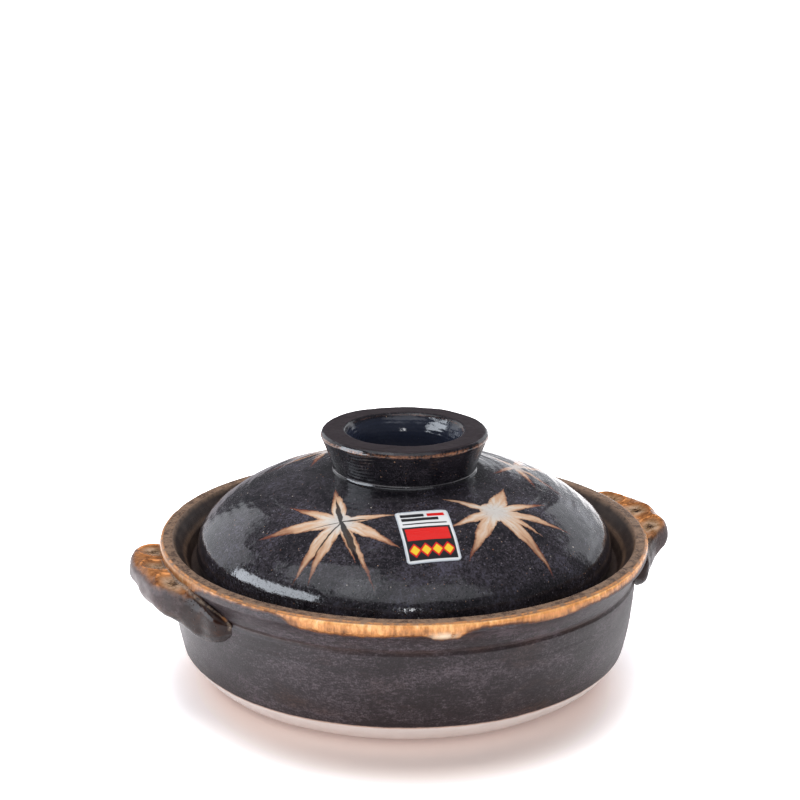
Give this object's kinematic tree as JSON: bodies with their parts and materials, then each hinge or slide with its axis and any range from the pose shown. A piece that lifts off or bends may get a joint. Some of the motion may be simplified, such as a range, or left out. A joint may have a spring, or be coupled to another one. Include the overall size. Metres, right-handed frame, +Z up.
{
  "type": "donabe clay pot",
  "caption": "Wide lidded clay cooking pot with pressed side lugs, and a domed glazed lid that lifts off by an open ring knob.",
  "frame": {"origin": "centre of the pot's foot, at the surface it stands on", "axes": "+X out through the right lug, +Y towards the side away from the label, +Z up through the knob"},
  "size_m": [0.2858, 0.25, 0.122],
  "materials": {
    "pot_glaze": "satin brown-black glaze, amber where it breaks at the rim, bare clay at the foot",
    "lug_glaze": "amber and dark brown glaze, pooled in the thumb marks",
    "lid_glaze": "glossy black glaze with brushed leaves",
    "knob_glaze": "glossy black glaze, rust where it breaks at the edges",
    "label_paper": "coated white paper"
  },
  "bodies": {
    "pot": {"pot_body": "pot_glaze", "handle_left": "lug_glaze", "handle_right": "lug_glaze"},
    "lid": {"lid_shell": "lid_glaze", "lid_knob": "knob_glaze", "label_sticker": "label_paper"}
  },
  "joints": [
    {"name": "lid_lift", "type": "slide", "parent": "pot", "child": "lid", "axis": [0, 0, 1], "range_m": [0, 0.12]}
  ]
}
